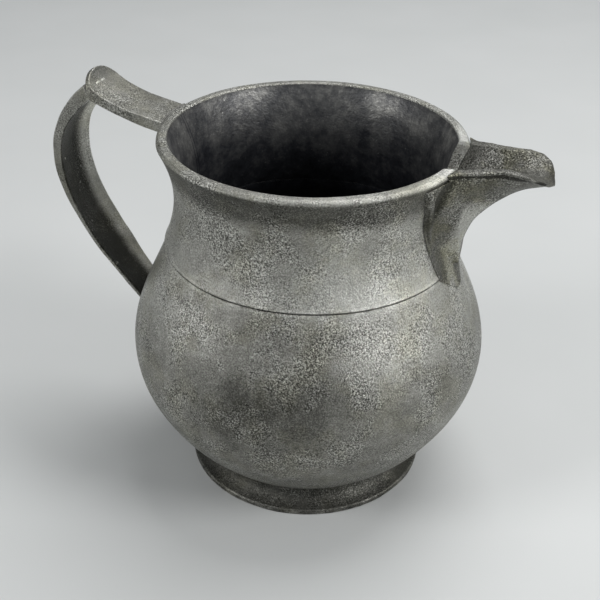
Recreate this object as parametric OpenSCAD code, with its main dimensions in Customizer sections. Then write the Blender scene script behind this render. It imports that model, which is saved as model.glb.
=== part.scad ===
// Bellied pewter measure: a footed round pot with a beak spout and a strap handle.
// The pot is seven castings, joined by thin layers of solder.
// The origin is the centre of the plane it rests on. +X points to the spout, +Z up.

/* [Pot] */
// Height from the rest plane to the rim
pot_h = 105.7; // [104:0.1:108]
// Outer radius of the rim
rim_r = 42.3; // [41.8:0.1:42.8]
// Width of the flat top of the rim
lip_w = 3.1; // [2.6:0.1:3.6]
// Outer radius at the narrowest part of the neck
waist_r = 38.3; // [37.8:0.1:38.8]
// Outer radius of the neck's lower edge
shoulder_r = 41.6; // [41.2:0.1:42]
// Height of the joint between neck and belly
shoulder_z = 73.7; // [73:0.1:75]
// Outer radius of the belly at its fullest
belly_r = 52; // [51:0.1:53]
// Height at which the belly is fullest
belly_z = 42.3; // [41:0.1:44]
// Wall thickness of the neck and the belly
wall = 2.1; // [1.8:0.1:2.4]

/* [Foot] */
// Outer radius of the foot where it rests
foot_r = 36.1; // [35.6:0.1:36.8]
// Height of the foot ring
foot_h = 6.6; // [6.2:0.1:7]
// Outer radius of the foot's top, where the belly sits on it
foot_neck_r = 31.4; // [31:0.1:31.8]
// Thickness of the bottom disc
disc_t = 2.3; // [2:0.1:2.4]

/* [Spout] */
// Distance of the spout's tip from the pot's axis
tip_x = 65.3; // [64.5:0.1:66]
// Half-width of the spout's root under the rim
root_w = 20.4; // [19.5:0.1:21]
// How far the spout's root stands out from the neck
root_t = 1.1; // [0.9:0.1:1.3]

/* [Handle] */
// Half-width of the strap at the rim
strap_w = 7.4; // [7:0.1:7.8]
// Half-width of the strap at the thumb tab
tab_w = 7.5; // [7.2:0.1:7.8]
// How far the hand-cut tab is set over towards -Y
tab_shift = 0.7; // [0:0.1:0.8]
// Reach of the thumb tab's rounded end past its sides
tab_reach = 5.6; // [5:0.1:6]
// Half-width of the grip down most of its length
grip_w = 8.2; // [8:0.1:8.6]
// Half-width of the grip at its lower end
grip_end_w = 6.7; // [6.4:0.1:7]
// Depth of the gutter along the grip's inner face
gutter_d = 0.8; // [0.5:0.1:1]

/* [Solder] */
// Thickness of each layer of solder
solder_t = 0.3; // [0.2:0.05:0.4]

/* [Hidden] */
$fn = 96;

pewter = [0.47, 0.47, 0.45];
dark_pewter = [0.33, 0.33, 0.32];
pale_solder = [0.56, 0.56, 0.53];
steps = 16;                       // straight pieces in each curve
far_out = 90;                     // longer than any radius of the pot
lip_round = 1.1;                  // rounding of the rim's outer edge
bore_round = 0.5;                 // rounding of the rim's inner edge
step_in = 0.3;                    // the neck's lower edge overhangs the belly by this
belly_top = shoulder_z - solder_t;
seat_r = foot_neck_r - 3.6;       // inner radius of the foot ring's top
disc_r = seat_r - solder_t;

// Curves

// A point on a cubic curve with four control points
function bez(p, t) = pow(1 - t, 3) * p[0] + 3 * pow(1 - t, 2) * t * p[1]
    + 3 * (1 - t) * t * t * p[2] + pow(t, 3) * p[3];
function bez_slope(p, t) = pow(1 - t, 2) * (p[1] - p[0])
    + 2 * (1 - t) * t * (p[2] - p[1]) + t * t * (p[3] - p[2]);
function unit(v) = v / norm(v);
function left_of(v) = [-v.y, v.x];
// The curve moved sideways by d, to its left
function curve(p, d = 0) = [
    for (i = [0:steps]) bez(p, i / steps) + d * left_of(unit(bez_slope(p, i / steps)))
];
function arc(c, r, a0, a1) = [
    for (i = [0:6]) c + r * [cos(a0 + (a1 - a0) * i / 6), sin(a0 + (a1 - a0) * i / 6)]
];
function reversed(list) = [for (i = [len(list) - 1:-1:0]) list[i]];

// Outlines of the pot, as radius and height

low_curve = [
    [foot_neck_r, foot_h], [foot_neck_r + 6.2, foot_h + 4],
    [belly_r, belly_z - 16.3], [belly_r, belly_z]
];
high_curve = [
    [belly_r, belly_z], [belly_r, belly_z + 12.1],
    [shoulder_r + 2.5, shoulder_z - 8.3], [shoulder_r - step_in, belly_top]
];
neck_curve = [
    [shoulder_r, shoulder_z], [waist_r - 0.9, shoulder_z + 10.5],
    [waist_r - 1.6, pot_h - 12.3], [rim_r, pot_h - lip_round]
];
bore_curve = [
    [shoulder_r - wall, shoulder_z], [waist_r - 0.9 - wall, shoulder_z + 10.5],
    [waist_r - 1.4 - wall, pot_h - 11.5], [rim_r - lip_w, pot_h - bore_round]
];
foot_curve = [
    [foot_r - 0.2, 1.6], [foot_r - 3.4, 2.8],
    [foot_neck_r + 0.4, foot_h - 2.4], [foot_neck_r, foot_h - solder_t]
];

// Everything inside the pot's outer surface, moved out by d, and above its mouth
module pot_envelope(d = 0) {
    skin = concat(curve(low_curve, -d), curve(high_curve, -d), curve(neck_curve, -d));
    rotate_extrude()
        polygon(concat([[0, foot_h]], skin, [[rim_r + d, pot_h + 9], [0, pot_h + 9]]));
}

// A round layer from the pot's outer surface to d outside it
module pot_skin(d) {
    difference() {
        pot_envelope(d);
        pot_envelope();
    }
}

// Pot

module neck() {
    rim = concat(
        arc([rim_r - lip_round, pot_h - lip_round], lip_round, 0, 90),
        arc([rim_r - lip_w + bore_round, pot_h - bore_round], bore_round, 90, 180)
    );
    color(pewter) difference() {
        rotate_extrude()
            polygon(concat(curve(neck_curve), rim, reversed(curve(bore_curve))));
        trough();
    }
}

module belly() {
    inside = concat(
        [[seat_r, foot_h]], curve(low_curve, wall), curve(high_curve, wall),
        [[shoulder_r - wall, belly_top]]
    );
    color(pewter) rotate_extrude()
        polygon(concat(curve(low_curve), curve(high_curve), reversed(inside)));
}

module shoulder_solder() {
    color(dark_pewter) ring(shoulder_r - wall, shoulder_r - 2 * step_in, belly_top, shoulder_z);
}

// A flat ring between two radii and two heights
module ring(r0, r1, z0, z1) {
    rotate_extrude() translate([r0, z0]) square([r1 - r0, z1 - z0]);
}

// Foot

module foot_ring() {
    top = foot_h - solder_t;
    color(dark_pewter) rotate_extrude() polygon(concat(
        [[foot_r - 3, 0], [foot_r, 0], [foot_r, 1.2]],
        curve(foot_curve),
        [[seat_r, top], [seat_r, top - disc_t], [seat_r + 1.6, top - disc_t]]
    ));
}

module base_disc() {
    top = foot_h - solder_t;
    color(dark_pewter) translate([0, 0, top - disc_t]) cylinder(r = disc_r, h = disc_t);
}

module foot_solder() {
    color(pale_solder) ring(seat_r, foot_neck_r - step_in, foot_h - solder_t, foot_h);
}

module base_solder() {
    top = foot_h - solder_t;
    color(pale_solder) ring(disc_r, seat_r, top - disc_t, top);
}

// Spout

// Half-width of the spout's top outside its edges, by distance from the pot's axis
beak_plan = [
    [33, 17.5], [39, 14.5], [42.5, 11.7], [48.7, 9.7], [53, 8.5], [57.5, 8.9],
    [tip_x - 4.7, 9], [tip_x - 2.1, 7.3], [tip_x - 0.5, 3.9], [tip_x, 0.6]
];
// Height of the spout's top above the rim
beak_rise = [
    [40, 0], [48.7, 0.6], [53, 1], [57.5, 0.9], [tip_x - 4.7, 0.3],
    [tip_x - 2.1, -0.9], [tip_x, -3.4]
];
// The same half-width between the edges, for the trough
trough_plan = [
    [28, 10.3], [36, 10.3], [39, 9.7], [45.3, 8], [49.4, 6.8], [52.5, 5.9], [57.5, 6.2],
    [tip_x - 4.7, 5.5], [tip_x - 3, 3.6], [tip_x - 2.4, 1]
];
keel_curve = [
    [43.5, shoulder_z], [43.5, shoulder_z + 15.5],
    [50, pot_h - 9], [tip_x, pot_h - 4.4]
];
floor_curve = [
    [41, shoulder_z + 5], [41.2, shoulder_z + 18],
    [48.5, pot_h - 6.6], [tip_x - 2.4, pot_h - 1.6]
];
// Half-width and height of the root's edge on the pot, from the tail up to the rim
root_edge = [
    [1.8, shoulder_z - 5.5], [7, shoulder_z - 2.4], [10.3, shoulder_z],
    [12.5, shoulder_z + 8.8], [14.5, shoulder_z + 16], [root_w - 4.3, pot_h - 10],
    [root_w - 2.2, pot_h - 6.5], [root_w, pot_h - 2.4], [14, pot_h - 0.6]
];

across = 14;                      // pieces from edge to edge of one section
// One section of a beak: its edge, down one side to the keel, and up the other
function section(x, w, top, low, p) = [
    for (j = [0:across]) let (v = 1 - 2 * j / across)
        [x, sign(v) * w * pow(abs(v), 2 * p), low + (top - low) * v * v]
];

// A solid beak through its sections, which all have the same number of points
module beak(sections) {
    n = across + 1;
    last = len(sections) - 1;
    sides = [for (i = [0:last - 1], j = [0:n - 1])
        let (a = i * n + j, b = i * n + (j + 1) % n)
            each [[a, b, a + n], [b, b + n, a + n]]];
    ends = [for (j = [1:n - 2])
        each [[0, j + 1, j], [last * n, last * n + j, last * n + j + 1]]];
    polyhedron([for (s = sections) each s], concat(sides, ends));
}

// The sections stand on the keel, and two fuller ones lead back into the pot
function beak_sections(keel, plan, tops, p) = concat(
    [for (x = [30, 38]) section(x, lookup(x, plan), tops[0], keel[0].y, p * 0.6)],
    [for (i = [0:steps]) section(keel[i].x, lookup(keel[i].x, plan), tops[i], keel[i].y, p)]
);

module trough() {
    floor = curve(floor_curve);
    tops = [for (k = floor) pot_h + 4];
    beak(beak_sections(floor, trough_plan, tops, 0.45));
}

module root_prism() {
    side = [for (e = root_edge) [e[0], e[1]]];
    other = [for (e = reversed(root_edge)) [-e[0], e[1]]];
    rotate([90, 0, 90]) linear_extrude(far_out) polygon(concat(side, other));
}

module spout() {
    keel = curve(keel_curve);
    tops = [for (k = keel) pot_h + lookup(k.x, beak_rise)];
    color(pewter) difference() {
        union() {
            beak(beak_sections(keel, beak_plan, tops, 0.72));
            intersection() {
                pot_envelope(solder_t + root_t);
                root_prism();
            }
        }
        pot_envelope(solder_t);
        trough();
    }
}

module spout_solder() {
    color(pale_solder) difference() {
        intersection() {
            pot_skin(solder_t);
            root_prism();
        }
        trough();
    }
}

// Handle, drawn from the side as distance along X and height

corner_low = [-63.9, pot_h + 3.1];      // where the strap's underside meets the grip
corner_high = [-65, pot_h + 7.1];       // where the tab's back meets the grip
tab_tip = [-64.9, pot_h + 10.2];
tab_lean = 118;                         // slope of the tab's face
tab_middle = tab_tip - tab_reach * [cos(tab_lean), sin(tab_lean)];
strap_top = [
    [-38, pot_h - 1.1], [-52, pot_h + 1.2], [-63.2, pot_h + 3.6], tab_tip
];
strap_under = [
    [-38, pot_h - 4.4], [-50.3, pot_h - 2.5], [-57, pot_h + 0.1], corner_low
];
grip_back = [
    [corner_high, [-70.8, pot_h + 2.6], [-77.7, 100], [-77.7, 90]],
    [[-77.7, 90], [-77.7, 78.5], [-70.5, 65], [-50.5, 41.6]]
];
grip_front = [
    [corner_low, [-68.7, pot_h - 1.8], [-74.8, 99.2], [-74.8, 89]],
    [[-74.8, 89], [-74.8, 78], [-70.2, 67], [-50, 43]]
];
weld = solder_t / 2;                    // half the layer at the handle's corner

// A side outline given its full width across Y
module slab(points, half_w) {
    rotate([90, 0, 0]) linear_extrude(2 * half_w, center = true) polygon(points);
}

// The strap with its thumb tab, before its end is cut to the neck
module strap_blank() {
    back = [tab_tip + [-1.2, -0.1], tab_tip + [-1.4, -1], corner_high + [weld, 0]];
    intersection() {
        slab(concat(
            curve(strap_top), back, [corner_low + [weld, 0]], reversed(curve(strap_under))
        ), far_out);
        translate([0, 0, pot_h / 2]) linear_extrude(pot_h) polygon([
            [-30, -strap_w], [tab_middle.x, -tab_w - tab_shift], [-far_out, -tab_w - tab_shift],
            [-far_out, tab_w - tab_shift], [tab_middle.x, tab_w - tab_shift], [-30, strap_w]
        ]);
        tab_outline();
    }
}

// The tab's rounded end, seen square to its face
module tab_outline() {
    rounded = [
        for (i = [0:2 * steps]) let (a = 180 * i / (2 * steps))
            [tab_reach * sin(a), tab_w * cos(a)]
    ];
    wide = 2 * tab_w;
    translate([tab_middle.x, -tab_shift, tab_middle.y]) rotate([0, -tab_lean, 0])
        linear_extrude(far_out, center = true) polygon(concat(
            [[-far_out, wide], [0, wide]], rounded, [[0, -wide], [-far_out, -wide]]
        ));
}

module handle_strap() {
    color(pewter) difference() {
        strap_blank();
        pot_envelope(solder_t);
    }
}

// The grip before its lower end is cut to the belly
module grip_blank() {
    left = [-weld, 0];
    back = concat(curve(grip_back[0]), curve(grip_back[1]));
    front = concat(curve(grip_front[0]), curve(grip_front[1]));
    moved = [for (i = [0:len(back) - 1]) i == 0 ? back[0] + left : back[i]];
    facing = [for (i = [0:len(front) - 1]) i == 0 ? front[0] + left : front[i]];
    intersection() {
        slab(concat(moved, reversed(facing)), far_out);
        rotate([90, 0, 90]) linear_extrude(2 * far_out, center = true) polygon([
            [-grip_end_w, 40], [grip_end_w, 40], [grip_end_w, 46], [grip_w, 62],
            [grip_w, pot_h + 9], [-grip_w, pot_h + 9], [-grip_w, 62], [-grip_end_w, 46]
        ]);
    }
}

// A shallow channel down the grip's inner face
module gutter() {
    front = concat(curve(grip_front[0], gutter_d), curve(grip_front[1], gutter_d));
    inner = [for (p = front) if (p.y < pot_h - 4 && p.y > 52) p];
    slab(concat(inner, [[-40, 52], [-40, pot_h - 4]]), grip_end_w - 1.8);
}

module handle_grip() {
    color(pewter) difference() {
        grip_blank();
        gutter();
        pot_envelope(solder_t);
    }
}

module strap_solder() {
    color(pale_solder) intersection() {
        pot_skin(solder_t);
        strap_blank();
    }
}

module grip_solder() {
    color(pale_solder) intersection() {
        pot_skin(solder_t);
        grip_blank();
    }
}

module corner_solder() {
    side = [weld, 0];
    color(pale_solder) translate([0, -tab_shift, 0]) slab([
        corner_low + side, corner_high + side, corner_high - side, corner_low - side
    ], tab_w - 0.3);
}

neck();
belly();
foot_ring();
base_disc();
spout();
handle_strap();
handle_grip();
shoulder_solder();
foot_solder();
base_solder();
spout_solder();
strap_solder();
corner_solder();
grip_solder();
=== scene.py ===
"""The looks of a bellied pewter measure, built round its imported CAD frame.

Lengths are in millimetres until a mesh is made, and angles in degrees.
+X points to the spout, -Y is the near side, +Z is up.
"""
import math

import bmesh
import bpy
import numpy as np
from mathutils import Matrix, Vector, noise


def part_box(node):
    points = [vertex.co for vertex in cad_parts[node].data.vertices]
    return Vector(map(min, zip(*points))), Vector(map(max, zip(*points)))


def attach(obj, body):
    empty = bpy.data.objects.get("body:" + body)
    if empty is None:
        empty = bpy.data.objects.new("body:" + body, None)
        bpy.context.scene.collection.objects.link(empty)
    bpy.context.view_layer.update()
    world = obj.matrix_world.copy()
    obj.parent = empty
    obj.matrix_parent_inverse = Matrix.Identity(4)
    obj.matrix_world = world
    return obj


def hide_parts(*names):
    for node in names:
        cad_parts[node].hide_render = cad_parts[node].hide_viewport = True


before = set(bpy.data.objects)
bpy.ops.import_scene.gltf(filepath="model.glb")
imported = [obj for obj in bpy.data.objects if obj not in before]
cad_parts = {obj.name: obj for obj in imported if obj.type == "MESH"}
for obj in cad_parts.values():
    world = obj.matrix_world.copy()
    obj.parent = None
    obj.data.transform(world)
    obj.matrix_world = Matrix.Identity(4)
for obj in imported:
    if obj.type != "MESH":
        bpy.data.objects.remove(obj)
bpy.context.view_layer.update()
MM = 0.001                      # metres in a millimetre
LOW, HIGH = 0, 1                # corners of a box
X, Y, Z = 0, 1, 2


def edge(node, end, axis):
    """Where a CAD node ends along an axis, in millimetres."""
    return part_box(node)[end][axis] / MM


# ---------------------------------------------------------------- sizes

POT_H = edge("neck", HIGH, Z)
RIM_R = edge("neck", HIGH, Y)
SHOULDER_Z = edge("neck", LOW, Z)
BELLY_TOP = edge("belly", HIGH, Z)
BELLY_R = edge("belly", HIGH, Y)
FOOT_R = edge("foot_ring", HIGH, Y)
FOOT_H = edge("belly", LOW, Z)
FOOT_TOP = edge("foot_ring", HIGH, Z)
DISC_R = edge("base_disc", HIGH, Y)
DISC_LOW = edge("base_disc", LOW, Z)

# The frame can't give these, so they repeat the CAD's values
WALL = 2.1
SHOULDER_R = 41.6               # where neck and belly meet
WAIST_R = 38.3                  # the neck at its narrowest
BELLY_Z = 42.3                  # height of the belly's widest place
LIP_W = 3.1                     # width of the rim's top
LIP_ROUND = 1.1                 # rounding of the rim's outer edge
BORE_ROUND = 0.5                # rounding of the rim's inner edge
FOOT_NECK_R = 31.4              # the foot ring at its narrowest
SEAT_R = FOOT_NECK_R - 3.6      # inner radius of the foot ring's top

SOLDER_T = SHOULDER_Z - BELLY_TOP
SEAM_T = 0.3 * SOLDER_T         # the spout's layer of solder as it shows
HANDLE_GAP = 0.05               # between the handle's ends and the pot
CHAMFER = 0.35                  # on the neck's lower edge
ABOVE_MOUTH = 9                 # how far the pot's envelope reaches above the rim
TURNS = 288                     # faces round the pot


# ---------------------------------------------------------------- curves

def bezier(points, count=24):
    """Places along the cubic curve with four control points."""
    t = np.linspace(0, 1, count + 1)[:, None]
    a, b, c, d = np.array(points, float)
    return (1 - t) ** 3 * a + 3 * (1 - t) ** 2 * t * b + 3 * (1 - t) * t**2 * c + t**3 * d


def moved(line, d):
    """A flat open line moved to its left by d, a number or one for each place."""
    slope = np.gradient(line, axis=0)
    slope /= np.linalg.norm(slope, axis=1)[:, None]
    return line + np.reshape(d, (-1, 1)) * np.stack([-slope[:, 1], slope[:, 0]], axis=1)


def arc(centre, radius, start, stop, count=6):
    """Places along an arc about a centre, between two angles."""
    a = np.radians(np.linspace(start, stop, count + 1))
    return np.array(centre) + radius * np.stack([np.cos(a), np.sin(a)], axis=1)


def through(points, shares):
    """Places at shares of the way (0 to 1) on a smooth curve through all the points."""
    p = np.array(points, float)
    knots = np.linspace(0, 1, len(p))
    slopes = np.gradient(p, knots, axis=0)
    i = np.clip(np.searchsorted(knots, shares, side="right") - 1, 0, len(p) - 2)
    h = (knots[i + 1] - knots[i])[:, None]
    u = ((shares - knots[i]) / (knots[i + 1] - knots[i]))[:, None]
    return ((2 * u**3 - 3 * u**2 + 1) * p[i] + (u**3 - 2 * u**2 + u) * h * slopes[i]
            + (3 * u**2 - 2 * u**3) * p[i + 1] + (u**3 - u**2) * h * slopes[i + 1])


def smooth_step(v, low, high):
    """Eases from 0 to 1 as v goes from low to high."""
    t = np.clip((v - low) / (high - low), 0, 1)
    return t * t * (3 - 2 * t)


LOW_CURVE = bezier([
    (FOOT_NECK_R, FOOT_H), (FOOT_NECK_R + 6.2, FOOT_H + 4),
    (BELLY_R, BELLY_Z - 16.3), (BELLY_R, BELLY_Z)
])
HIGH_CURVE = bezier([
    (BELLY_R, BELLY_Z), (BELLY_R, BELLY_Z + 12.1), (SHOULDER_R + 2.5, SHOULDER_Z - 8.3),
    (SHOULDER_R - 0.3, BELLY_TOP)
])
NECK_CURVE = bezier([
    (SHOULDER_R, SHOULDER_Z), (WAIST_R - 0.9, SHOULDER_Z + 10.5),
    (WAIST_R - 1.6, POT_H - 12.3), (RIM_R, POT_H - LIP_ROUND)
])
BORE_CURVE = bezier([
    (SHOULDER_R - WALL, SHOULDER_Z), (WAIST_R - 0.9 - WALL, SHOULDER_Z + 10.5),
    (WAIST_R - 1.4 - WALL, POT_H - 11.5), (RIM_R - LIP_W, POT_H - BORE_ROUND)
])
SKIN = np.concatenate([LOW_CURVE, HIGH_CURVE[1:], NECK_CURVE])


def skin_r(z):
    """Outer radius of the pot at a height."""
    return np.interp(z, SKIN[:, 1], SKIN[:, 0])


def on_skin(half_w, z, side, out):
    """The place beside the spout at a half-width and a height, a distance out from the pot."""
    r = skin_r(z) + out
    return np.stack([np.sqrt(r * r - half_w * half_w), side * half_w, z], axis=-1)


# ---------------------------------------------------------------- meshes

SEED_STEPS = (17.3, 5.1, 9.7)   # how far apart in the noise two seeds lie
SHARP_ANGLE = 50                # edges that turn by more than this stay sharp
BEAD_SIDES = 10
BEAD_LUMPS, LUMP_RATE = 0.35, 0.6    # how much a bead's radius varies, and how fast


def make_piece(name, points, faces):
    """An object from places in millimetres, with doubles merged and its faces turned outwards."""
    mesh = bpy.data.meshes.new(name)
    mesh.from_pydata((np.asarray(points) * MM).tolist(), [], faces)
    work = bmesh.new()
    work.from_mesh(mesh)
    bmesh.ops.remove_doubles(work, verts=work.verts, dist=1e-7)
    bmesh.ops.triangulate(work, faces=[f for f in work.faces if len(f.verts) > 4])
    bmesh.ops.recalc_face_normals(work, faces=work.faces)
    work.to_mesh(mesh)
    work.free()
    piece = bpy.data.objects.new(name, mesh)
    bpy.context.scene.collection.objects.link(piece)
    return piece


def revolve(name, outline):
    """A solid of revolution about Z from a closed outline of radius and height."""
    r, z = np.asarray(outline, float).T
    n = len(r)
    a = np.linspace(0, 2 * np.pi, TURNS, endpoint=False)
    points = np.stack(
        [np.outer(np.cos(a), r), np.outer(np.sin(a), r), np.tile(z, (TURNS, 1))], axis=2
    )
    faces = [
        (i * n + j, (i + 1) % TURNS * n + j, (i + 1) % TURNS * n + (j + 1) % n, i * n + (j + 1) % n)
        for i in range(TURNS) for j in range(n)
    ]
    return make_piece(name, points.reshape(-1, 3), faces)


def loft(name, rings, closed=False):
    """A solid through rings with the same number of points, with flat ends unless closed."""
    rings = np.asarray(rings, float)
    m, n = rings.shape[:2]
    faces = [
        (i * n + j, i * n + (j + 1) % n, (i + 1) % m * n + (j + 1) % n, (i + 1) % m * n + j)
        for i in range(m if closed else m - 1) for j in range(n)
    ]
    if not closed:
        faces += [tuple(reversed(range(n))), tuple(range((m - 1) * n, m * n))]
    return make_piece(name, rings.reshape(-1, 3), faces)


def settle(piece):
    """Applies the modifiers of a piece to its mesh."""
    graph = bpy.context.evaluated_depsgraph_get()
    mesh = bpy.data.meshes.new_from_object(piece.evaluated_get(graph))
    piece.modifiers.clear()
    piece.data = mesh
    mesh.materials.clear()
    return piece


def prism(name, outline, axis, low, high):
    """A flat outline given its width from low to high along an axis."""
    outline = np.asarray(outline, float)
    return loft(name, [np.insert(outline, axis, at, axis=1) for at in (low, high)])


def combine(piece, tool, operation):
    """Joins a tool to a piece, cuts it away or keeps what they share, and removes the tool."""
    cut = piece.modifiers.new(operation.lower(), "BOOLEAN")
    cut.operation = operation
    cut.solver = "MANIFOLD"
    cut.object = tool
    settle(piece)
    bpy.data.objects.remove(tool)
    return piece


def add_smoothing(piece, rounds, group=""):
    """A modifier that smooths a piece, or only the vertices of a group."""
    smooth = piece.modifiers.new("smooth", "SMOOTH")
    smooth.factor = 0.5
    smooth.iterations = rounds
    smooth.vertex_group = group


def recast(piece, voxel, rounds):
    """Turns a piece into one even skin, with its corners softened as in a worn casting."""
    skin = piece.modifiers.new("skin", "REMESH")
    skin.mode = "VOXEL"
    skin.voxel_size = voxel * MM
    add_smoothing(piece, rounds)
    return settle(piece)


def vertex_values(mesh, kind):
    """Three numbers for each vertex: its place (co) or the direction that it faces (normal)."""
    values = np.empty(len(mesh.vertices) * 3, np.float32)
    mesh.vertices.foreach_get(kind, values)
    return values.reshape(-1, 3)


def soften(piece, rounds, share):
    """Smooths a piece where share, a function of its places in millimetres, is near 1."""
    weights = share(*(vertex_values(piece.data, "co").T / MM))
    chosen = piece.vertex_groups.new(name="soft")
    levels = 10
    for level in range(1, levels + 1):
        near = np.nonzero(np.round(weights * levels) == level)[0]
        chosen.add(near.tolist(), level / levels, "REPLACE")
    add_smoothing(piece, rounds, chosen.name)
    return settle(piece)


def warp(piece, amount, size, seed):
    """Moves the surface in and out by up to amount, in soft dents of about that size."""
    mesh = piece.data
    places, normals = vertex_values(mesh, "co"), vertex_values(mesh, "normal")
    start = Vector([seed * step for step in SEED_STEPS])
    push = [noise.noise(Vector(p) / (size * MM) + start) for p in places]
    places += normals * np.array(push, np.float32)[:, None] * amount * MM
    mesh.vertices.foreach_set("co", places.ravel())
    mesh.update()


def shade(piece):
    """Smooth shading, with sharp edges kept."""
    mesh = piece.data
    mesh.polygons.foreach_set("use_smooth", [True] * len(mesh.polygons))
    mesh.set_sharp_from_angle(angle=math.radians(SHARP_ANGLE))


def bead(name, path, radius, closed, seed):
    """A thin lumpy rod along a path: a line of solder, or the root's ridge."""
    path = np.asarray(path, float)
    if closed:
        ahead = np.roll(path, -1, axis=0) - np.roll(path, 1, axis=0)
    else:
        ahead = np.gradient(path, axis=0)
    ahead /= np.linalg.norm(ahead, axis=1)[:, None]
    across = np.cross(ahead, path * (1, 1, 0))
    across /= np.linalg.norm(across, axis=1)[:, None]
    out = np.cross(across, ahead)
    turns = np.linspace(0, 2 * np.pi, BEAD_SIDES, endpoint=False)
    rings = []
    for p, u, v, r in zip(path, across, out, np.broadcast_to(radius, len(path))):
        lump = noise.noise(Vector(p) * LUMP_RATE + Vector((seed, 0, 0)))
        r = r * (1 + BEAD_LUMPS * lump)
        rings.append([p + r * (math.cos(a) * u + math.sin(a) * v) for a in turns])
    return loft(name, rings, closed)


def envelope(name, out):
    """Everything inside the pot's outer surface, moved out, and above its mouth.

    The distance out is a number, or a function that gives it for each height.
    """
    def outwards(line):
        return moved(line, -out(line[:, 1]) if callable(out) else -out)

    side = np.concatenate([outwards(line) for line in (LOW_CURVE, HIGH_CURVE, NECK_CURVE)])
    wide, top = side[-1, 0], POT_H + ABOVE_MOUTH
    return revolve(name, [(0, FOOT_H), *side, (wide, top), (0, top)])


def skin_layer(name, low, high):
    """A layer round the pot between two distances out from its surface."""
    return combine(envelope(name, high), envelope("core", low), "DIFFERENCE")


# ---------------------------------------------------------------- pot

# Half-width of the trough between the spout's edges, by distance from the axis
TROUGH_PLAN = [
    (26, 10.3), (36, 10.3), (38.9, 9.7), (45.3, 8), (49.4, 6.8), (52.5, 6.1), (56, 6.7),
    (59, 7.4), (61.5, 7.6), (63.3, 6.6), (64.6, 4.6), (67, 4.6)
]
# Rise of the spout's edges above the rim, by distance from the axis
EDGE_RISE = [
    (26, 0), (40, 0), (48.7, 0.6), (53, 1), (57.5, 0.9), (60.6, 0.3), (63.2, -0.9),
    (64.9, -2.9), (67, -5)
]
# Height of the trough's floor, by distance from the axis
TROUGH_FLOOR = [
    (26, 79), (40.5, 79), (41.2, 84), (42, 88.5), (43.6, 92.5), (46, 96.2), (49.4, 99.3),
    (53, 101.3), (57.5, 103), (61, 103.9), (63.3, 103.6), (64.6, 102.7), (67, 100)
]
TROUGH_FLARE, TROUGH_CLEAR = 1.5, 8    # how far the cut widens and rises above the edges
DISH_DIP = 0.35                 # how far the bottom disc is dished


def trough_solid():
    """What is open above the trough's floor, and through the wall of the neck."""
    v = np.linspace(1, -1, 25)
    rings = []
    for x in np.concatenate([[26, 33, 38], np.linspace(40.5, 67, 60)]):
        w = np.interp(x, *np.transpose(TROUGH_PLAN))
        rim = POT_H + np.interp(x, *np.transpose(EDGE_RISE))
        floor = np.interp(x, *np.transpose(TROUGH_FLOOR))
        across = w * np.sign(v) * abs(v) ** 0.85
        dish = np.stack([np.full(len(v), x), across, floor + (rim - floor) * v * v], axis=1)
        side, top = w + TROUGH_FLARE, rim + TROUGH_CLEAR
        rings.append([(x, side, top), *dish, (x, -side, top)])
    return loft("trough", rings)


def make_neck():
    """The neck with its rounded rim, cut open behind the spout."""
    rim = np.concatenate([
        arc((RIM_R - LIP_ROUND, POT_H - LIP_ROUND), LIP_ROUND, 0, 90),
        arc((RIM_R - LIP_W + BORE_ROUND, POT_H - BORE_ROUND), BORE_ROUND, 90, 180)
    ])
    lower_edge = [
        (SHOULDER_R - WALL, SHOULDER_Z), (SHOULDER_R - CHAMFER, SHOULDER_Z),
        (SHOULDER_R, SHOULDER_Z + CHAMFER)
    ]
    outline = np.concatenate([lower_edge, NECK_CURVE[1:], rim, BORE_CURVE[-2:0:-1]])
    neck = revolve("neck_casting", outline)
    combine(neck, trough_solid(), "DIFFERENCE")
    warp(neck, amount=0.12, size=14, seed=1)
    return neck


def make_belly():
    """The belly between two copies of its outer line, a wall apart."""
    inside = np.concatenate([
        [(SEAT_R, FOOT_H)], moved(LOW_CURVE, WALL), moved(HIGH_CURVE, WALL)[1:-1],
        [(SHOULDER_R - WALL, BELLY_TOP)]
    ])
    belly = revolve("belly_casting", np.concatenate([LOW_CURVE, HIGH_CURVE[1:], inside[::-1]]))
    warp(belly, amount=0.22, size=20, seed=2)
    return belly


def make_foot():
    """The foot ring: a narrow band, a concave flare above it and the disc's seat under it."""
    band = [(FOOT_R - 0.3, 0), (FOOT_R, 0.3), (FOOT_R, 1.2)]
    curve = bezier([
        (FOOT_R - 0.2, 1.6), (FOOT_R - 3.4, 2.8),
        (FOOT_NECK_R + 0.4, FOOT_H - 2.4), (FOOT_NECK_R, FOOT_TOP)
    ])
    under = [(SEAT_R, FOOT_TOP), (SEAT_R, DISC_LOW), (SEAT_R + 1.6, DISC_LOW), (FOOT_R - 3, 0)]
    foot = revolve("foot_casting", np.concatenate([band, curve, under]))
    warp(foot, amount=0.1, size=8, seed=3)
    for v in foot.data.vertices:
        v.co.z = max(v.co.z, 0)             # the dents don't reach below the ground
    return foot


def make_disc():
    """The bottom disc, a little dished on both faces."""
    r = np.linspace(0, DISC_R - 0.3, 16)
    dish = DISH_DIP * (1 - (r / DISC_R) ** 2)
    below = np.stack([r, DISC_LOW + dish], axis=1)
    above = np.stack([r, FOOT_TOP - dish], axis=1)
    edge_side = [(DISC_R, DISC_LOW + 0.3), (DISC_R, FOOT_TOP - 0.3)]
    return revolve("bottom_disc", np.concatenate([below, edge_side, above[::-1]]))


# ---------------------------------------------------------------- spout

# Half-width and height of the root's edge on the pot, from the tail up to the rim
ROOT_EDGE = [
    (1.8, 67.4), (7, 71), (10.3, 73.7), (11.6, 78.6), (12.6, 83), (14.5, 89.7), (16.1, 95.7),
    (18.2, 99.2), (20, 102.3), (20.4, 103.6)
]
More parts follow.
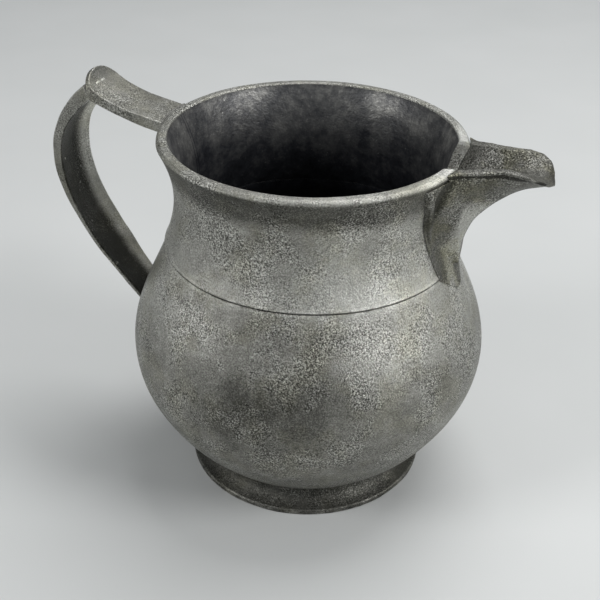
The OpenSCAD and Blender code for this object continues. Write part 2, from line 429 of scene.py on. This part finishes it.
# Half-width and rise of the lip's outer edge, by distance from the axis
LIP_EDGE = [
    (39.2, 14.6, -0.1), (42.5, 11.7, 0), (48.7, 9.75, 0.6), (53, 8.5, 1), (57.5, 8.9, 0.9),
    (60.6, 9, 0.3), (63.2, 7.3, -0.9), (64.7, 4.3, -2.6), (65.2, 1.4, -3.4)
]
# Distance from the axis and height of the keel
KEEL = [
    (43.2, 74), (43.35, 78.5), (43.8, 82.2), (45, 86), (46.6, 89), (48.4, 91.3), (50.2, 93.3),
    (51.8, 94.8), (53.4, 96.1), (55, 97.3), (57.6, 98.9), (60, 99.9), (62, 100.6), (63.3, 101),
    (64.2, 101.2), (64.9, 101.5), (65.2, 101.9)
]
ROOT_LINE = through(ROOT_EDGE, np.linspace(0, 1, 61))
LEDGE_T = 0.95                  # thickness of the lip's ledge
LEDGE_EDGE = 0.2                # slope of the ledge's outer edge
UNDERCUT = 1.2                  # how far the ledge overhangs the flank
FLANK_DROP = 0.5                # from the ledge's top to the flank's, inside the ledge
FULL_POWER, BEAK_POWER = 0.45, 0.7      # the flank's sections: full at the root, then keeled
PLATE_LOW, PLATE_HIGH = 0.1, 0.5        # the root's thickness at its tail and under the rim
RIDGE_R, RIDGE_OUT, RIDGE_INSET = 1.25, 0.75, 1.2    # the rolled edge of the root
RIDGE_Z = POT_H - 12            # above this height the root's edge is a full ridge
RIDGE_RISE = 9                  # height that the ridge takes to grow


def flank_section(x, low, power):
    """An upright section of the beak: from its edge down to the keel and up the other side."""
    plan = np.array([(28, 19, 0), (36, 16.2, 0), *LIP_EDGE])
    w = np.interp(x, plan[:, 0], plan[:, 1]) - UNDERCUT
    top = POT_H + np.interp(x, plan[:, 0], plan[:, 2]) - FLANK_DROP
    v = np.linspace(1, -1, 41)
    return np.stack([
        np.full(len(v), x), np.sign(v) * w * abs(v) ** (2 * power), low + (top - low) * v * v
    ], axis=1)


def spout_flank():
    """The beak below the ledge, and two fuller sections that lead back into the pot."""
    keel = through(KEEL, np.linspace(0, 1, 91))
    roots = [flank_section(x, keel[0, 1], FULL_POWER) for x in (30, 38)]
    return loft("spout_casting", [*roots, *[flank_section(x, low, BEAK_POWER) for x, low in keel]])


def spout_ledge():
    """The two flat lips as one plate, before the trough is cut through it."""
    plan = np.array([(30, 19, -0.1), (36, 16.6, -0.1), *LIP_EDGE, (65.3, 0.3, -3.5)])
    rings = []
    for x in np.concatenate([[30, 34], np.linspace(38, 64, 53), np.linspace(64.1, 65.3, 13)]):
        w = np.interp(x, plan[:, 0], plan[:, 1])
        top = POT_H + np.interp(x, plan[:, 0], plan[:, 2])
        inner = w - LEDGE_EDGE
        half = [(x, inner, top - LEDGE_T), (x, w, top - 0.3), (x, inner, top)]
        rings.append([*half, *[(x, -y, z) for x, y, z in half[::-1]]])
    return loft("ledge", rings)


def root_outline():
    """The root's outline as seen from the spout's tip, drawn out along X."""
    outline = np.concatenate([ROOT_LINE, ROOT_LINE[::-1] * (-1, 1)])
    return prism("root_outline", outline, X, 5, 60)


def plate_out(z):
    """How far the root stands out from the pot at a height."""
    share = smooth_step(z, RIDGE_Z - 8, RIDGE_Z + 8)
    return SOLDER_T + PLATE_LOW + (PLATE_HIGH - PLATE_LOW) * share


def root_ridge(side):
    """The rolled edge of the root, which grows upwards and dies away below the rim."""
    start = RIDGE_Z - RIDGE_RISE
    w, z = ROOT_LINE[ROOT_LINE[:, 1] > start].T
    swell = 0.25 + 0.75 * smooth_step(z, start, RIDGE_Z)
    swell -= 0.6 * smooth_step(z, POT_H - 4, POT_H - 2.1)
    line = on_skin(np.maximum(w - RIDGE_INSET, 0.3), z, side, RIDGE_OUT)
    return bead("ridge", line, RIDGE_R * swell, closed=False, seed=5)


def flank_share(x, y, z):
    """1 on the middle of the spout's flanks, and 0 at its keel, its ledge and the root's ridge."""
    side = smooth_step(abs(y), 1, 3) * (1 - smooth_step(abs(y), 11.5, 13.5))
    level = smooth_step(z, 80, 86) * (1 - smooth_step(z, POT_H - 4, POT_H - 2.5))
    return side * level * smooth_step(x, 38, 40)


def make_spout():
    """The beak, its ledge, its root and the root's ridges as one casting with an open trough."""
    spout = spout_flank()
    combine(spout, spout_ledge(), "UNION")
    combine(spout, combine(envelope("plate", plate_out), root_outline(), "INTERSECT"), "UNION")
    for side in (1, -1):
        combine(spout, root_ridge(side), "UNION")
    combine(spout, trough_solid(), "DIFFERENCE")
    combine(spout, envelope("pot_room", SEAM_T), "DIFFERENCE")
    recast(spout, voxel=0.24, rounds=2)
    soften(spout, rounds=60, share=flank_share)
    warp(spout, amount=0.12, size=4, seed=4)
    return spout


# ---------------------------------------------------------------- handle

TAB_TIP = (-64.9, POT_H + 10.2)
CORNER_LOW = (-63.9, POT_H + 3.1)        # where the strap's underside meets the grip
CORNER_HIGH = (-65, POT_H + 7.1)         # where the tab's back meets the grip
STRAP_TOP = bezier([(-38, POT_H - 1.1), (-52, POT_H + 1.2), (-63.2, POT_H + 3.6), TAB_TIP], 60)
STRAP_UNDER = bezier([
    (-38, POT_H - 4.4), (-50.3, POT_H - 2.5), (-57, POT_H + 0.1), CORNER_LOW
], 60)
GRIP_BACK = np.concatenate([
    bezier([CORNER_HIGH, (-70.8, POT_H + 2.6), (-77.7, 100), (-77.7, 90)], 40),
    bezier([(-77.7, 90), (-77.7, 78.5), (-70.5, 65), (-50.5, 41.6)], 60)[1:]
])
GRIP_FRONT = np.concatenate([
    bezier([CORNER_LOW, (-68.7, POT_H - 1.8), (-74.8, 99.2), (-74.8, 89)], 40),
    bezier([(-74.8, 89), (-74.8, 78), (-70.2, 67), (-50, 43)], 60)[1:]
])
STRAP_W, TAB_W = 7.4, 7.5       # half-widths at the rim and at the thumb tab
TAB_SHIFT = 0.7                 # how far the tab is set over to the near side
TAB_REACH = 5.6                 # length of the tab's rounded end
TAB_LEAN = 118                  # angle from +X, upwards, to the way that the tab points
TAB_UP = np.array([math.cos(math.radians(TAB_LEAN)), 0, math.sin(math.radians(TAB_LEAN))])
GRIP_W, GRIP_END_W = 8.2, 6.7   # half-widths of the grip and of its lower end
GUTTER_D = 1.4                  # depth of the gutter in the grip's inner face
GRIP_CROWN = 0.5                # bulge of the grip's back
CORNER = 0.45                   # rounding of the handle's edges


def rounded_corner(at, u, v, radius):
    """A quarter round at a corner whose sides run along u and then v."""
    turns = np.radians(np.linspace(0, 90, 5))
    centre = at - radius * (u + v)
    return [centre + radius * (math.cos(a) * u + math.sin(a) * v) for a in turns]


def strap_section(top, under, half_w, crown):
    """A section of a flat bar with rounded edges, a bulging back and a hollow face."""
    top, under = np.array([top[0], 0, top[1]]), np.array([under[0], 0, under[1]])
    up = top - under
    thick = np.linalg.norm(up)
    up /= thick
    side = np.array([0, 1.0, 0])
    r = min(CORNER, 0.45 * thick, 0.9 * half_w)      # kept within the section
    bulge, dip = crown
    reach = np.linspace(0.9, -0.9, 15)
    ring = rounded_corner(top + half_w * side, side, up, r)
    ring += [top + t * side * (half_w - r) + bulge * (1 - t * t) * up for t in reach]
    ring += rounded_corner(top - half_w * side, up, -side, r)
    ring += rounded_corner(under - half_w * side, -side, -up, r)
    ring += [under + t * side * (half_w - r) + dip * (1 - abs(t) ** 1.6) * up for t in -reach]
    ring += rounded_corner(under + half_w * side, -up, side, r)
    return ring


def meeting_line(rings):
    """Where the lines that run through all the rings enter the pot."""
    rings = np.asarray(rings)
    line = []
    for rail in np.swapaxes(rings, 0, 1):
        outside = np.hypot(rail[:, 0], rail[:, 1]) - skin_r(rail[:, 2])
        i = np.nonzero(outside[:-1] * outside[1:] <= 0)[0][0]
        share = outside[i] / (outside[i] - outside[i + 1])
        line.append(rail[i] + share * (rail[i + 1] - rail[i]))
    return np.array(line)


def grip_rings():
    """Sections of the grip from its corner down, narrower at the end, with a gutter inside."""
    s = np.linspace(0, 1, len(GRIP_BACK))
    widths = GRIP_END_W + (GRIP_W - GRIP_END_W) * smooth_step(GRIP_BACK[:, 1], 44, 64)
    hollow = GUTTER_D * smooth_step(s, 0.04, 0.14)
    return [
        strap_section(b, f, w, (GRIP_CROWN, h))
        for b, f, w, h in zip(GRIP_BACK, GRIP_FRONT, widths, hollow)
    ]


def strap_side():
    """The strap and its thumb tab as seen from the near side, drawn out across the pot."""
    tip = np.array(TAB_TIP)
    back = [tip + (-0.5, 0.25), tip + (-1.1, 0), tip + (-1.4, -0.8), CORNER_HIGH, CORNER_LOW]
    return prism(
        "thumb_strap", np.concatenate([STRAP_TOP, back, STRAP_UNDER[-2::-1]]), Y, -20, 20
    )


def strap_plan():
    """The strap as seen from above: it leads over to the tab, which is set to the near side."""
    near, far = -TAB_W - TAB_SHIFT, TAB_W - TAB_SHIFT
    bend_x = TAB_TIP[0] - TAB_REACH * TAB_UP[X]
    plan = [(-30, -STRAP_W), (bend_x, near), (-90, near), (-90, far), (bend_x, far), (-30, STRAP_W)]
    return prism("plan", plan, Z, 80, 130)


def tab_outline():
    """The tab's round end with the strap's length below it, drawn out at right angles to it."""
    square = np.array([-TAB_UP[Z], 0, TAB_UP[X]])
    middle = np.array([TAB_TIP[0], -TAB_SHIFT, TAB_TIP[1]]) - TAB_REACH * TAB_UP
    lobe = [(TAB_W * math.cos(a), TAB_REACH * math.sin(a)) for a in np.linspace(0, np.pi, 49)]
    wide = 2 * TAB_W
    outline = [(wide, -60), (wide, -0.5), *lobe, (-wide, -0.5), (-wide, -60)]
    return loft("tab_outline", [
        [middle + w * np.array([0, 1, 0]) + u * TAB_UP + d * square for w, u in outline]
        for d in (-40, 60)
    ])


def make_strap():
    """The strap with its thumb tab, cut to the neck."""
    strap = strap_side()
    combine(strap, strap_plan(), "INTERSECT")
    combine(strap, tab_outline(), "INTERSECT")
    combine(strap, envelope("pot_room", HANDLE_GAP), "DIFFERENCE")
    recast(strap, voxel=0.2, rounds=2)
    warp(strap, amount=0.1, size=6, seed=7)
    return strap


def make_grip():
    """The long grip, cut to the belly."""
    grip = loft("curved_grip", grip_rings())
    combine(grip, envelope("pot_room", HANDLE_GAP), "DIFFERENCE")
    recast(grip, voxel=0.3, rounds=1)
    warp(grip, amount=0.2, size=7, seed=8)
    return grip


# ---------------------------------------------------------------- solder

def flat_ring(name, r0, r1, z0, z1):
    """A ring about Z between two radii and two heights."""
    side = np.linspace(z0, z1, 4)
    return revolve(name, [*[(r0, z) for z in side], *[(r1, z) for z in side[::-1]]])


def strap_meeting():
    """The strap's outline where it meets the neck, from the sections at that end."""
    ends = zip(STRAP_TOP[:16], STRAP_UNDER[:16])
    return meeting_line([strap_section(top, under, STRAP_W, (0, 0)) for top, under in ends])


def make_spout_solder():
    """The layer that joins the spout to the pot, cut to its outline and to the trough."""
    layer = skin_layer("spout_seam", 0.01, SEAM_T)
    combine(layer, root_outline(), "INTERSECT")
    return combine(layer, trough_solid(), "DIFFERENCE")


def make_corner_solder():
    """The layer between the strap's end and the grip's, as wide as the tab."""
    low, high = (np.array((p[0], -TAB_SHIFT, p[1])) for p in (CORNER_LOW, CORNER_HIGH))
    thick = np.array((SOLDER_T / 2, 0, 0))
    half_w = np.array((0, TAB_W - 0.1, 0))
    return loft("corner_seam", [
        [low + s + thick, high + s + thick, high + s - thick, low + s - thick]
        for s in (-half_w, half_w)
    ])


def make_solder():
    """The solder that shows at each joint, by the CAD node that it stands for."""
    return {
        "shoulder_solder": flat_ring(
            "shoulder_seam", SHOULDER_R - WALL, SHOULDER_R - 0.7, BELLY_TOP, SHOULDER_Z
        ),
        "foot_solder": flat_ring("foot_seam", SEAT_R, FOOT_NECK_R - 0.1, FOOT_TOP, FOOT_H),
        "base_solder": flat_ring("base_seam", DISC_R, SEAT_R, DISC_LOW + 0.1, FOOT_TOP),
        "spout_solder": make_spout_solder(),
        "strap_solder": bead("strap_seam", strap_meeting(), 0.35, closed=True, seed=12),
        "grip_solder": bead("grip_seam", meeting_line(grip_rings()), 0.4, closed=True, seed=13),
        "corner_solder": make_corner_solder(),
    }


# ---------------------------------------------------------------- materials

class Shader:
    """A material's node tree, with short calls for the nodes that pewter needs.

    A value is a number or what a node gives.
    """

    def __init__(self, name):
        self.material = bpy.data.materials.new(name)
        self.material.use_nodes = True
        self.tree = self.material.node_tree
        self.surface = self.tree.nodes["Principled BSDF"]
        self.place = self.tree.nodes.new("ShaderNodeTexCoord").outputs["Object"]

    def feed(self, socket, value):
        """Links what a node gives to a socket, or sets the socket to a plain value."""
        if isinstance(value, bpy.types.NodeSocket):
            self.tree.links.new(value, socket)
        else:
            socket.default_value = value

    def maths(self, operation, *values):
        """One step of arithmetic on the values."""
        node = self.tree.nodes.new("ShaderNodeMath")
        node.operation = operation
        for socket, value in zip(node.inputs, values):
            self.feed(socket, value)
        return node.outputs[0]

    def total(self, first, *others):
        """The sum of the values."""
        for value in others:
            first = self.maths("ADD", first, value)
        return first

    def times(self, first, *others):
        """The product of the values."""
        for value in others:
            first = self.maths("MULTIPLY", first, value)
        return first

    def away(self, value, middle):
        """How far a value is from the middle."""
        return self.maths("ABSOLUTE", self.maths("SUBTRACT", value, middle))

    def around(self, value, strength):
        """The part of a value above or below a half, times the strength."""
        return self.times(self.maths("SUBTRACT", value, 0.5), strength)

    def step(self, value, low, high, to_low=0.0, to_high=1.0):
        """Eases between two levels as a value goes from low to high."""
        node = self.tree.nodes.new("ShaderNodeMapRange")
        node.interpolation_type = "SMOOTHSTEP"
        for socket, v in zip(node.inputs, (value, low, high, to_low, to_high)):
            self.feed(socket, v)
        return node.outputs["Result"]

    def noise(self, size, detail=2.0, rough=0.5, stretch=(1, 1, 1), shift=0.0):
        """Soft noise between 0 and 1 whose features are about size millimetres."""
        mapping = self.tree.nodes.new("ShaderNodeMapping")
        self.feed(mapping.inputs["Vector"], self.place)
        mapping.inputs["Scale"].default_value = [1 / (size * MM * s) for s in stretch]
        mapping.inputs["Location"].default_value = (shift, shift * 0.7, shift * 1.3)
        node = self.tree.nodes.new("ShaderNodeTexNoise")
        self.feed(node.inputs["Vector"], mapping.outputs[0])
        node.inputs["Scale"].default_value = 1
        node.inputs["Detail"].default_value = detail
        node.inputs["Roughness"].default_value = rough
        return node.outputs["Fac"]

    def parts(self, vector):
        """The X, Y and Z parts of a vector."""
        node = self.tree.nodes.new("ShaderNodeSeparateXYZ")
        self.feed(node.inputs[0], vector)
        return node.outputs

    def place_parts(self):
        """The parts of the place on the piece, in millimetres."""
        node = self.tree.nodes.new("ShaderNodeVectorMath")
        node.operation = "SCALE"
        self.feed(node.inputs[0], self.place)
        node.inputs["Scale"].default_value = 1 / MM
        return self.parts(node.outputs[0])

    def facing(self):
        """The parts of the direction that the surface faces."""
        return self.parts(self.tree.nodes.new("ShaderNodeTexCoord").outputs["Normal"])

    def crease(self):
        """More than a half on the mesh's outer edges, and less in its hollows."""
        return self.tree.nodes.new("ShaderNodeNewGeometry").outputs["Pointiness"]

    def ramp(self, value, stops):
        """The colour for a value between stops, which are (value, colour) pairs."""
        node = self.tree.nodes.new("ShaderNodeValToRGB")
        self.feed(node.inputs["Fac"], value)
        marks = node.color_ramp.elements
        while len(marks) < len(stops):
            marks.new(0.5)
        for mark, (at, colour) in zip(marks, stops):
            mark.position = at
            mark.color = (*colour, 1)
        return node.outputs["Color"]

    def stained(self, colour, stain, share):
        """A colour multiplied by a stain, as far as the share goes."""
        node = self.tree.nodes.new("ShaderNodeMix")
        node.data_type = "RGBA"
        node.blend_type = "MULTIPLY"
        sockets = {socket.identifier: socket for socket in [*node.inputs, *node.outputs]}
        self.feed(sockets["Factor_Float"], share)
        self.feed(sockets["A_Color"], colour)
        self.feed(sockets["B_Color"], (*stain, 1))
        return sockets["Result_Color"]

    def bump(self, height, depth, under=None):
        """Relief of about depth millimetres, on top of other relief."""
        node = self.tree.nodes.new("ShaderNodeBump")
        node.inputs["Strength"].default_value = 1
        node.inputs["Distance"].default_value = depth * MM
        self.feed(node.inputs["Height"], height)
        if under:
            self.feed(node.inputs["Normal"], under)
        return node.outputs["Normal"]

    def finish(self, colour, roughness, metallic, normal):
        """Feeds the surface and gives the material."""
        self.feed(self.surface.inputs["Base Color"], colour)
        self.feed(self.surface.inputs["Roughness"], roughness)
        self.feed(self.surface.inputs["Metallic"], metallic)
        self.feed(self.surface.inputs["Normal"], normal)
        return self.material


PEWTER_TONES = [
    (0.0, (0.03, 0.03, 0.026)), (0.25, (0.10, 0.099, 0.09)), (0.5, (0.27, 0.268, 0.25)),
    (0.75, (0.50, 0.498, 0.47)), (1.0, (0.80, 0.80, 0.77))
]
# Colours of the inside, from the painted shade deep in the bore up to the grey near the rim
BORE_TONES = [
    (0.0, (0.008, 0.0085, 0.011)), (0.3, (0.04, 0.042, 0.049)), (0.55, (0.13, 0.13, 0.13)),
    (0.8, (0.30, 0.296, 0.28)), (1.0, (0.5, 0.49, 0.46))
]
SOLDER_TONES = [(0.3, (0.09, 0.088, 0.08)), (0.7, (0.3, 0.295, 0.275))]
PAPER_TONES = [(0.2, (0.60, 0.612, 0.605)), (0.8, (0.63, 0.64, 0.635))]
OLIVE = (0.9, 0.88, 0.72)
PEWTER_METALLIC, BORE_METALLIC, SOLDER_METALLIC = 0.85, 0.7, 0.6


def aged_pewter(name, tone, pitting, wear, seed, extra=None, olive=0.5):
    """Oxidised pewter: fine dark pits between bright specks, soft tarnish and rubbed edges.

    The extra is a function of the shader that gives lighter or darker tones to some places.
    """
    s = Shader(name)
    grain = s.noise(0.42, 3, 0.65, shift=seed)
    cloud = s.noise(6, 4, 0.6, shift=seed + 3)
    patch = s.noise(26, 2, 0.5, shift=seed + 7)
    pitted = s.step(s.noise(13, 4, 0.65, shift=seed + 9), 0.4, 0.6, 0.4, 1.35)
    crease = s.crease()
    rubbed = s.step(s.noise(3, 3, 0.6, shift=seed + 17), 0.4, 0.6, 0.3 * wear, 1.2 * wear)
    scratch = s.away(s.noise(5, 1, 0.5, stretch=(1, 1, 0.25), shift=seed + 13), 0.5)
    value = s.total(
        tone,
        s.around(grain, s.times(pitted, 2.0 * pitting)),
        s.around(cloud, 0.45),
        s.around(patch, 0.25),
        s.times(s.step(crease, 0.51, 0.58), rubbed),
        s.step(crease, 0.44, 0.49, -0.25, 0.0),
        s.times(s.step(scratch, 0.0, 0.009, -0.3, 0.0), s.step(cloud, 0.48, 0.6)),
        *(extra(s) if extra else ()),
    )
    stain = s.step(s.noise(11, 4, 0.65, shift=seed + 11), 0.44, 0.64, 0.15, olive)
    colour = s.stained(s.ramp(value, PEWTER_TONES), OLIVE, stain)
    roughness = s.step(value, 0.2, 0.9, 0.5, 0.29)
    relief = s.bump(s.noise(2.4, 3, 0.6, shift=seed + 5), 0.14)
    relief = s.bump(grain, 0.24 * pitting, relief)
    return s.finish(colour, roughness, PEWTER_METALLIC, relief)


def pot_tones(s):
    """Painted shadow and dirt in the shoulder seam, painted shade under the rim and low down, a
    painted dark reflection on the front, painted light on the upper belly and the neck's right
    side, and a rubbed rim.
    """
    x, _, z = s.place_parts()
    # A dark seam line: partly dirt in the joint and partly painted shadow under the neck's proud
    # lower edge.
    joint = s.step(s.away(z, SHOULDER_Z), 0.25, 0.9, -0.2, 0.0)
    # Painted shade on the neck under the rim's overhang, away from the spout.
    flare = s.times(s.step(z, POT_H - 12, POT_H - 6, 0.0, -0.32), s.step(x, 34, 38, 1.0, 0.0))
    rim = s.step(z, POT_H - 1.6, POT_H - 0.6, 0.0, 0.36)
    # Painted light on the upper belly and shoulder, which face up towards the lamps.
    upper = s.times(s.step(z, 50, 62), s.step(z, 72, 92, 0.16, 0.0))
    # Painted shade on the lower belly, towards the foot.
    low = s.step(z, 7, 17, -0.12, 0.0)
    belly = s.step(z, SHOULDER_Z - 6, SHOULDER_Z + 2, 1.0, 0.0)
    # Painted highlight on the neck's right side.
    painted_neck_highlight = s.times(s.step(x, 8, 22, 0.0, 0.1), s.maths("SUBTRACT", 1.0, belly))
    # Painted dark reflection down the middle of the upper belly, with faintly paler sides.
    painted_front_reflection = s.times(belly, s.step(z, 34, 48), s.step(s.away(x, 8), 8, 26, -0.15, 0.03))
    neck = s.maths("SUBTRACT", 0.09, s.times(belly, 0.09))
    return joint, flare, rim, upper, low, painted_neck_highlight, painted_front_reflection, neck


def spout_tones(s):
    """A painted reflection of the floor as a pale strip beside the keel, painted shade beside the
    root's ridge and a painted shadow under the ledge.
    """
    _, y, z = s.place_parts()
    # Painted reflection of the floor: a pale strip beside the keel, low on the flank.
    keel = s.step(s.away(y, -3.5), 1.5, 4, 0.27, 0.0)
    painted_keel_reflection = s.times(keel, s.step(z, POT_H - 14, POT_H - 8, 1.0, 0.0))
    # Painted shade in the hollow beside the root's ridge, below the rim.
    ridge = s.step(s.away(s.maths("ABSOLUTE", y), 13), 1.2, 3, -0.36, 0.0)
    upper = s.step(z, POT_H - 18, POT_H - 10)
    below_ledge = s.step(z, POT_H - 3, POT_H - 1.2, 1.0, 0.0)
    # Painted shadow in a ragged line under the ledge's overhang, on the outer faces.
    ragged = s.maths("ADD", z, s.around(s.noise(1.6, 3, 0.6), 1.6))
    painted_ledge_shadow = s.step(s.away(ragged, POT_H - 1.2), 0.4, 0.9, -0.4, 0.0)
    outward = s.step(s.times(s.facing()["Y"], y), 0.0, 1.0)
    return painted_keel_reflection, s.times(ridge, upper, below_ledge), s.times(painted_ledge_shadow, outward)


def handle_tones(s):
    """Painted shade on the near half and painted light on the far half of the grip's gutter, which
    is also darker lower down.
    """
    _, y, z = s.place_parts()
    gutter = s.times(s.step(s.facing()["X"], 0.2, 0.6), s.step(z, POT_H - 1, POT_H + 2, 1.0, 0.0))
    # Painted shade on the gutter's near half and painted light on its far half.
    gutter_light_and_shade = s.step(y, 1, 5.5, -0.33, 0.34)
    low = s.step(z, 58, 72, -0.18, 0.0)
    return (s.times(gutter, s.maths("ADD", gutter_light_and_shade, low)),)


def bore_seam(s):
    """A dark double line down the bore on the handle's side, where the neck's seam was closed."""
    x, y, z = s.place_parts()
    slant = s.times(s.maths("SUBTRACT", POT_H - 1, z), 0.17)
    off = s.away(s.maths("SUBTRACT", y, slant), 0.2)
    line = s.step(s.away(off, 0.55), 0.1, 0.35, 0.16, 0.0)
    return s.times(line, s.maths("LESS_THAN", x, 0.0))


def dark_inside(name):
    """The tarnished inside of the pot, with painted shade deepening downwards: grey near the rim,
    blue-black below, softly mottled.
    """
    s = Shader(name)
    # Painted shade: the inside darkens from grey at the rim to blue-black deeper down.
    near_rim = s.step(s.place_parts()["Z"], POT_H - 38, POT_H - 1)
    streaks = s.noise(3, 3, 0.6, stretch=(1, 1, 4))
    cloud = s.noise(9, 4, 0.65, shift=4)
    mottle = s.noise(2.6, 4, 0.7, shift=6)
    speck = s.step(s.noise(0.7, 2, 0.6, shift=9), 0.64, 0.74, 0.0, 0.22)
    value = s.total(
        s.around(streaks, 0.3), s.around(cloud, 0.8), s.around(mottle, 0.6),
        s.times(near_rim, 0.42), speck, 0.16
    )
    value = s.maths("SUBTRACT", value, bore_seam(s))
    relief = s.bump(cloud, 0.3, s.bump(s.noise(0.8, 3, 0.6), 0.12))
    roughness = s.step(value, 0, 1, 0.5, 0.42)
    return s.finish(s.ramp(value, BORE_TONES), roughness, BORE_METALLIC, relief)


def dull_solder(name):
    """Grey solder with fine lumps."""
    s = Shader(name)
    lumps = s.noise(0.9, 3, 0.6, shift=2)
    roughness = s.step(lumps, 0.3, 0.7, 0.7, 0.5)
    return s.finish(s.ramp(lumps, SOLDER_TONES), roughness, SOLDER_METALLIC, s.bump(lumps, 0.25))


def pale_paper(name):
    """Matt paper with a very fine tooth."""
    s = Shader(name)
    tint = s.ramp(s.noise(60, 2, 0.5), PAPER_TONES)
    return s.finish(tint, 0.6, 0.0, s.bump(s.noise(0.5), 0.02))


# ---------------------------------------------------------------- stage

FLOOR_HALF = 3                  # half the floor's width, in metres
ROOM_LIGHT, ROOM_COLOUR = 0.27, (0.86, 0.9, 0.93, 1)
LIGHT_TARGET = (0, 0, 0.05)
# Name, place and width in metres, and power in watts
LIGHTS = [
    ("overhead", (0.12, 0.4, 0.98), 0.8, 6.4),
    ("right", (0.733, -0.073, 0.516), 0.35, 3.7),
    ("left", (-0.527, -0.515, 0.516), 0.3, 2.4),
]
CAMERA_TARGET, CAMERA_DISTANCE = (-3.75, 2.66, 50), 303
CAMERA_TURN = (19.3, 31.93, 1.03)    # round the pot, above the floor, and the picture's tilt
FOCAL_LENGTH, SENSOR_WIDTH = 60, 36
CLIP_START = 0.01               # in metres


def make_floor():
    """A sheet of pale paper that the pot stands on."""
    mesh = bpy.data.meshes.new("floor")
    half = FLOOR_HALF
    corners = [(-half, -half, 0), (half, -half, 0), (half, half, 0), (-half, half, 0)]
    mesh.from_pydata(corners, [], [(0, 1, 2, 3)])
    mesh.materials.append(pale_paper("pale_paper"))
    floor = bpy.data.objects.new("floor", mesh)
    bpy.context.scene.collection.objects.link(floor)


def make_light(name, place, width, power):
    """A round area light that points at the pot."""
    lamp = bpy.data.lights.new(name, "AREA")
    lamp.shape = "DISK"
    lamp.size = width
    lamp.energy = power
    holder = bpy.data.objects.new(name, lamp)
    bpy.context.scene.collection.objects.link(holder)
    aim = Vector(LIGHT_TARGET) - Vector(place)
    turn = aim.to_track_quat("-Z", "Y").to_matrix().to_4x4()
    holder.matrix_world = Matrix.Translation(place) @ turn


def make_world():
    """Soft light from all round."""
    world = bpy.data.worlds.new("room")
    world.use_nodes = True
    sky = world.node_tree.nodes["Background"]
    sky.inputs["Color"].default_value = ROOM_COLOUR
    sky.inputs["Strength"].default_value = ROOM_LIGHT
    bpy.context.scene.world = world


def make_camera():
    """The photo's camera."""
    azimuth, elevation, roll = (math.radians(a) for a in CAMERA_TURN)
    back = Vector((
        math.sin(azimuth) * math.cos(elevation), -math.cos(azimuth) * math.cos(elevation),
        math.sin(elevation)
    ))
    lens = bpy.data.cameras.new("camera")
    lens.lens = FOCAL_LENGTH
    lens.sensor_width = SENSOR_WIDTH
    lens.clip_start = CLIP_START
    camera = bpy.data.objects.new("camera", lens)
    bpy.context.scene.collection.objects.link(camera)
    place = Vector(CAMERA_TARGET) * MM + back * (CAMERA_DISTANCE * MM)
    turn = (-back).to_track_quat("-Z", "Y").to_matrix() @ Matrix.Rotation(roll, 3, "Z")
    camera.matrix_world = Matrix.Translation(place) @ turn.to_4x4()
    bpy.context.scene.camera = camera


# ---------------------------------------------------------------- putting it together

FACES_IN = -0.7                 # largest cosine between a lining face and the way out of the pot


def finish_piece(piece, node, material):
    """Gives a piece its material and smooth shading, hangs it under the root body and hides the CAD
    node that it stands for.
    """
    piece.data.materials.append(material)
    shade(piece)
    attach(piece, "root")
    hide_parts(node)


def line_inside(piece, lining, inner_r):
    """Gives the lining to the faces that turn inwards, within inner_r, a radius by height."""
    mesh = piece.data
    mesh.materials.append(lining)
    for face in mesh.polygons:
        x, y, z = face.center / MM
        n = face.normal
        inward = n.x * x + n.y * y < FACES_IN * math.hypot(x, y) * math.hypot(n.x, n.y)
        face.material_index = 1 if inward and math.hypot(x, y) < inner_r(z) else 0


def build():
    """Makes every material and piece."""
    pot = aged_pewter("aged_pewter", tone=0.42, pitting=1.05, wear=0.2, seed=0, extra=pot_tones)
    inside = dark_inside("tarnish_and_depth_shade")
    # A darker copy of the pewter for the foot and the disc: painted shade under the belly.
    dark = aged_pewter("dark_pewter", tone=0.16, pitting=0.6, wear=0.3, seed=21)
    spout_metal = aged_pewter(
        "spout_pewter", tone=0.33, pitting=0.9, wear=0.18, seed=33, extra=spout_tones, olive=0.95
    )
    handle_metal = aged_pewter(
        "handle_pewter", tone=0.42, pitting=0.75, wear=0.5, seed=45, extra=handle_tones
    )
    solder = dull_solder("dull_solder")

    neck, belly = make_neck(), make_belly()
    finish_piece(neck, "neck", pot)
    finish_piece(belly, "belly", pot)
    line_inside(neck, inside, lambda z: skin_r(z) - WALL / 2 if z < POT_H - 0.6 else 0)
    line_inside(belly, inside, lambda z: skin_r(z) - WALL / 2)
    finish_piece(make_foot(), "foot_ring", dark)
    finish_piece(make_disc(), "base_disc", dark)
    finish_piece(make_spout(), "spout", spout_metal)
    finish_piece(make_strap(), "handle_strap", handle_metal)
    finish_piece(make_grip(), "handle_grip", handle_metal)
    for node, piece in make_solder().items():
        finish_piece(piece, node, solder)
        if node == "shoulder_solder":
            line_inside(piece, inside, lambda z: SHOULDER_R - WALL / 2)


make_camera()
make_floor()
make_world()
for light in LIGHTS:
    make_light(*light)
build()
bpy.context.scene.view_settings.view_transform = "Standard"
